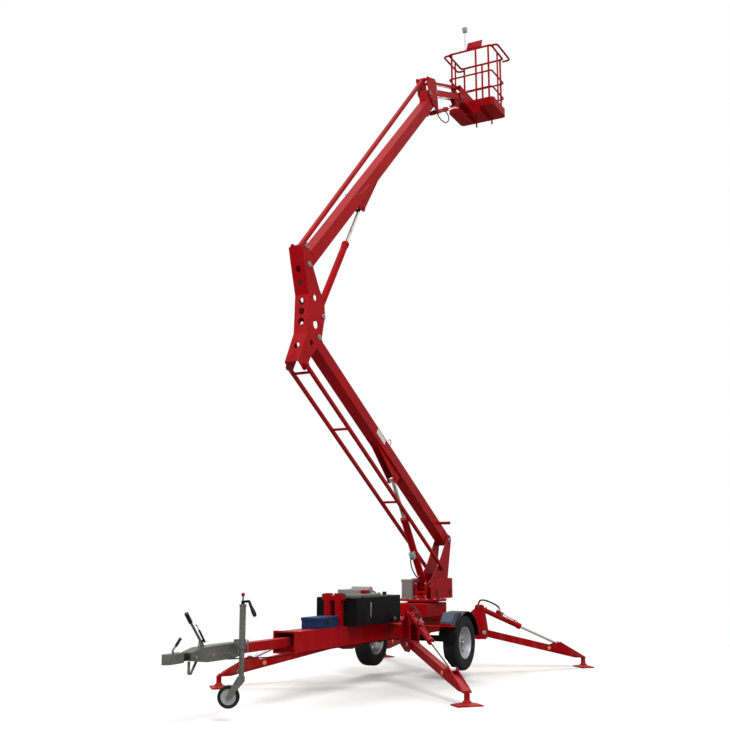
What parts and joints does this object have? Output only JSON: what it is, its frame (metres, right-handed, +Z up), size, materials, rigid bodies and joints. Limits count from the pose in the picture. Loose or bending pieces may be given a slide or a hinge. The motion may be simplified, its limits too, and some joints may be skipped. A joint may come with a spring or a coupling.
{
  "type": "towable articulated boom lift",
  "caption": "Trailer-mounted articulated boom lift with outriggers, turntable, parallelogram lower boom, upper boom, jib and basket.",
  "frame": {"origin": "middle of the machine's overall length and width, on the ground under its outrigger pads", "axes": "+X forward to the drawbar, +Y to the trailer's left, +Z up"},
  "size_m": [7.7384, 3.329, 9.86],
  "materials": {
    "black": "satin black",
    "blue": "blue plastic",
    "chrome": "polished rod",
    "grey": "grey paint",
    "red": "gloss red paint, weathered",
    "rubber": "dull black rubber",
    "silver": "silver wheel paint",
    "tyre": "dull black tread",
    "zinc": "galvanised, dull"
  },
  "bodies": {
    "chassis": {"axle_beam": "black", "battery_box": "blue", "boom_rest": "red", "chassis_frame": "red", "coupling_head": "zinc", "drawbar": "red", "engine_block": "grey", "handbrake_lever": "zinc", "hydraulic_tank": "black", "jockey_clamp": "zinc", "jockey_crank": "black", "jockey_outer_tube": "zinc", "mudguard_left": "black", "mudguard_right": "black", "overrun_housing": "zinc", "turntable_block": "red", "wheel_chock": "grey"},
    "elbow": {"elbow_frame": "red"},
    "jib_arm": {"jib_arm": "red"},
    "jib_link": {"jib_link": "red"},
    "jib_ram_barrel": {"jib_ram_barrel": "red"},
    "jib_ram_rod": {"jib_ram_rod": "chrome"},
    "jockey_fork": {"jockey_fork": "zinc"},
    "jockey_leg": {"jockey_leg": "zinc"},
    "jockey_wheel": {"jockey_wheel": "rubber"},
    "leg_FL": {"outrigger_leg_FL": "red"},
    "leg_FR": {"outrigger_leg_FR": "red"},
    "leg_ram_FL_barrel": {"leg_ram_FL_barrel": "red"},
    "leg_ram_FL_rod": {"leg_ram_FL_rod": "chrome"},
    "leg_ram_FR_barrel": {"leg_ram_FR_barrel": "red"},
    "leg_ram_FR_rod": {"leg_ram_FR_rod": "chrome"},
    "leg_ram_RL_barrel": {"leg_ram_RL_barrel": "red"},
    "leg_ram_RL_rod": {"leg_ram_RL_rod": "chrome"},
    "leg_ram_RR_barrel": {"leg_ram_RR_barrel": "red"},
    "leg_ram_RR_rod": {"leg_ram_RR_rod": "chrome"},
    "leg_RL": {"outrigger_leg_RL": "red"},
    "leg_RR": {"outrigger_leg_RR": "red"},
    "level_frame": {"level_frame": "red"},
    "level_rod": {"level_rod": "red"},
    "lift_ram_barrel": {"lift_hose": "rubber", "lift_ram_barrel": "red"},
    "lift_ram_rod": {"lift_ram_rod": "chrome"},
    "lower_boom": {"lower_boom": "red"},
    "platform": {"basket_floor": "red", "basket_rails": "red", "platform_bracket": "red", "platform_panel": "red", "work_lamp": "grey"},
    "tip_head": {"tip_head": "red", "tip_hose": "rubber"},
    "turntable": {"control_box": "grey", "turntable_cover": "red", "turntable_pedestal": "red"},
    "upper_boom": {"upper_boom": "red"},
    "upper_ram_barrel": {"upper_ram_barrel": "red"},
    "upper_ram_rod": {"upper_ram_rod": "chrome"},
    "wheel_left": {"rim_left": "silver", "tyre_left": "tyre"},
    "wheel_right": {"rim_right": "silver", "tyre_right": "tyre"}
  },
  "joints": [
    {"name": "slew", "type": "hinge", "parent": "chassis", "child": "turntable", "pos_m": [-1.23076, 0, 0], "axis": [0, 0, 1], "range_deg": [-179.5, 179.5]},
    {"name": "lower_boom_lift", "type": "hinge", "parent": "turntable", "child": "lower_boom", "pos_m": [-1.89076, 0, 1.67], "axis": [0, -1, 0], "range_deg": [-33.3, 28.7]},
    {"name": "level_frame_lift", "type": "hinge", "parent": "turntable", "child": "level_frame", "pos_m": [-1.60076, 0, 1.31], "axis": [0, -1, 0], "range_deg": [-33.35, 28.75]},
    {"name": "elbow_level", "type": "hinge", "parent": "lower_boom", "child": "elbow", "pos_m": [1.55924, 0, 3.77], "axis": [0, -1, 0], "range_deg": [-28.75, 33.35]},
    {"name": "upper_boom_lift", "type": "hinge", "parent": "elbow", "child": "upper_boom", "pos_m": [1.77924, 0, 4.53], "axis": [0, -1, 0], "range_deg": [-25.8, 46.2]},
    {"name": "level_rod_lift", "type": "hinge", "parent": "elbow", "child": "level_rod", "pos_m": [1.84424, 0, 4.715], "axis": [0, -1, 0], "range_deg": [-25.85, 46.25]},
    {"name": "tip_level", "type": "hinge", "parent": "upper_boom", "child": "tip_head", "pos_m": [-1.47076, 0, 7.92], "axis": [0, -1, 0], "range_deg": [-46.25, 25.85]},
    {"name": "jib_lift", "type": "hinge", "parent": "tip_head", "child": "jib_arm", "pos_m": [-1.69076, 0, 8.03], "axis": [0, 1, 0], "range_deg": [-60, 45]},
    {"name": "jib_link_lift", "type": "hinge", "parent": "tip_head", "child": "jib_link", "pos_m": [-1.65076, 0, 8.17], "axis": [0, 1, 0], "range_deg": [-60.05, 45.05]},
    {"name": "platform_level", "type": "hinge", "parent": "jib_arm", "child": "platform", "pos_m": [-2.68076, 0, 8.39], "axis": [0, 1, 0], "range_deg": [-45.05, 60.05]},
    {"name": "lift_ram_swing", "type": "hinge", "parent": "turntable", "child": "lift_ram_barrel", "pos_m": [-1.27076, 0, 1.08], "axis": [0, -1, 0], "range_deg": [-32.52, 28.03]},
    {"name": "lift_ram_stroke", "type": "slide", "parent": "lift_ram_barrel", "child": "lift_ram_rod", "axis": [0.5663, 0, 0.8242], "range_m": [-0.44221, 0.38119]},
    {"name": "upper_ram_swing", "type": "hinge", "parent": "elbow", "child": "upper_ram_barrel", "pos_m": [1.47924, 0, 4.02], "axis": [0, -1, 0], "range_deg": [-23.34, 41.74]},
    {"name": "upper_ram_stroke", "type": "slide", "parent": "upper_ram_barrel", "child": "upper_ram_rod", "axis": [-0.5386, 0, 0.8426], "range_m": [-0.44947, 0.25122]},
    {"name": "jib_ram_swing", "type": "hinge", "parent": "tip_head", "child": "jib_ram_barrel", "pos_m": [-1.73076, 0, 7.74], "axis": [0, 1, 0], "range_deg": [-57.53, 43.16]},
    {"name": "jib_ram_stroke", "type": "slide", "parent": "jib_ram_barrel", "child": "jib_ram_rod", "axis": [-0.8825, 0, 0.4703], "range_m": [-0.28115, 0.21099]},
    {"name": "leg_FL_fold", "type": "hinge", "parent": "chassis", "child": "leg_FL", "pos_m": [0.03924, 0.45, 0.48], "axis": [0.7314, -0.682, 0], "range_deg": [-6, 80]},
    {"name": "leg_FR_fold", "type": "hinge", "parent": "chassis", "child": "leg_FR", "pos_m": [0.03924, -0.45, 0.48], "axis": [-0.7314, -0.682, 0], "range_deg": [-6, 80]},
    {"name": "leg_RL_fold", "type": "hinge", "parent": "chassis", "child": "leg_RL", "pos_m": [-2.10076, 0.45, 0.48], "axis": [0.7314, 0.682, 0], "range_deg": [-6, 80]},
    {"name": "leg_RR_fold", "type": "hinge", "parent": "chassis", "child": "leg_RR", "pos_m": [-2.10076, -0.45, 0.48], "axis": [-0.7314, 0.682, 0], "range_deg": [-6, 80]},
    {"name": "leg_ram_FL_swing", "type": "hinge", "parent": "chassis", "child": "leg_ram_FL_barrel", "pos_m": [0.01878, 0.42806, 0.79], "axis": [0.7314, -0.682, 0], "range_deg": [-6.44, 85.25]},
    {"name": "leg_ram_FL_stroke", "type": "slide", "parent": "leg_ram_FL_barrel", "child": "leg_ram_FL_rod", "axis": [0.6258, 0.6711, -0.3974], "range_m": [-0.40877, 0.03112]},
    {"name": "leg_ram_FR_swing", "type": "hinge", "parent": "chassis", "child": "leg_ram_FR_barrel", "pos_m": [0.01878, -0.42806, 0.79], "axis": [-0.7314, -0.682, 0], "range_deg": [-6.44, 85.25]},
    {"name": "leg_ram_FR_stroke", "type": "slide", "parent": "leg_ram_FR_barrel", "child": "leg_ram_FR_rod", "axis": [0.6258, -0.6711, -0.3974], "range_m": [-0.40877, 0.03112]},
    {"name": "leg_ram_RL_swing", "type": "hinge", "parent": "chassis", "child": "leg_ram_RL_barrel", "pos_m": [-2.0803, 0.42806, 0.79], "axis": [0.7314, 0.682, 0], "range_deg": [-6.44, 85.25]},
    {"name": "leg_ram_RL_stroke", "type": "slide", "parent": "leg_ram_RL_barrel", "child": "leg_ram_RL_rod", "axis": [-0.6258, 0.6711, -0.3974], "range_m": [-0.40877, 0.03112]},
    {"name": "leg_ram_RR_swing", "type": "hinge", "parent": "chassis", "child": "leg_ram_RR_barrel", "pos_m": [-2.0803, -0.42806, 0.79], "axis": [-0.7314, 0.682, 0], "range_deg": [-6.44, 85.25]},
    {"name": "leg_ram_RR_stroke", "type": "slide", "parent": "leg_ram_RR_barrel", "child": "leg_ram_RR_rod", "axis": [-0.6258, -0.6711, -0.3974], "range_m": [-0.40877, 0.03112]},
    {"name": "wheel_left_spin", "type": "hinge", "parent": "chassis", "child": "wheel_left", "pos_m": [-0.96076, 0.6, 0.434], "axis": [0, 1, 0], "continuous": true},
    {"name": "wheel_right_spin", "type": "hinge", "parent": "chassis", "child": "wheel_right", "pos_m": [-0.96076, -0.6, 0.434], "axis": [0, 1, 0], "continuous": true},
    {"name": "jockey_raise", "type": "slide", "parent": "chassis", "child": "jockey_leg", "axis": [0, 0, 1], "range_m": [-0.11, 0.18]},
    {"name": "jockey_swivel", "type": "hinge", "parent": "jockey_leg", "child": "jockey_fork", "pos_m": [2.92924, 0.125, 0.395], "axis": [0, 0, 1], "continuous": true},
    {"name": "jockey_spin", "type": "hinge", "parent": "jockey_fork", "child": "jockey_wheel", "pos_m": [2.98089, 0.02788, 0.22], "axis": [0.8829, 0.4695, 0], "continuous": true}
  ],
  "couplings": [
    {"joint": "level_frame_lift", "follows": "lower_boom_lift", "ratio": 1},
    {"joint": "elbow_level", "follows": "lower_boom_lift", "ratio": -1},
    {"joint": "level_rod_lift", "follows": "upper_boom_lift", "ratio": 1},
    {"joint": "tip_level", "follows": "upper_boom_lift", "ratio": -1},
    {"joint": "jib_link_lift", "follows": "jib_lift", "ratio": 1},
    {"joint": "platform_level", "follows": "jib_lift", "ratio": -1},
    {"joint": "lift_ram_swing", "follows": "lower_boom_lift", "ratio": 0.975},
    {"joint": "lift_ram_stroke", "follows": "lower_boom_lift", "m_per_rad": 0.76},
    {"joint": "upper_ram_swing", "follows": "upper_boom_lift", "ratio": 0.9025},
    {"joint": "upper_ram_stroke", "follows": "upper_boom_lift", "m_per_rad": -0.5568},
    {"joint": "jib_ram_swing", "follows": "jib_lift", "ratio": 0.958},
    {"joint": "jib_ram_stroke", "follows": "jib_lift", "m_per_rad": 0.268},
    {"joint": "leg_ram_FL_swing", "follows": "leg_FL_fold", "ratio": 1.065},
    {"joint": "leg_ram_FL_stroke", "follows": "leg_FL_fold", "m_per_rad": -0.2924},
    {"joint": "leg_ram_FR_swing", "follows": "leg_FR_fold", "ratio": 1.065},
    {"joint": "leg_ram_FR_stroke", "follows": "leg_FR_fold", "m_per_rad": -0.2924},
    {"joint": "leg_ram_RL_swing", "follows": "leg_RL_fold", "ratio": 1.065},
    {"joint": "leg_ram_RL_stroke", "follows": "leg_RL_fold", "m_per_rad": -0.2924},
    {"joint": "leg_ram_RR_swing", "follows": "leg_RR_fold", "ratio": 1.065},
    {"joint": "leg_ram_RR_stroke", "follows": "leg_RR_fold", "m_per_rad": -0.2924}
  ]
}
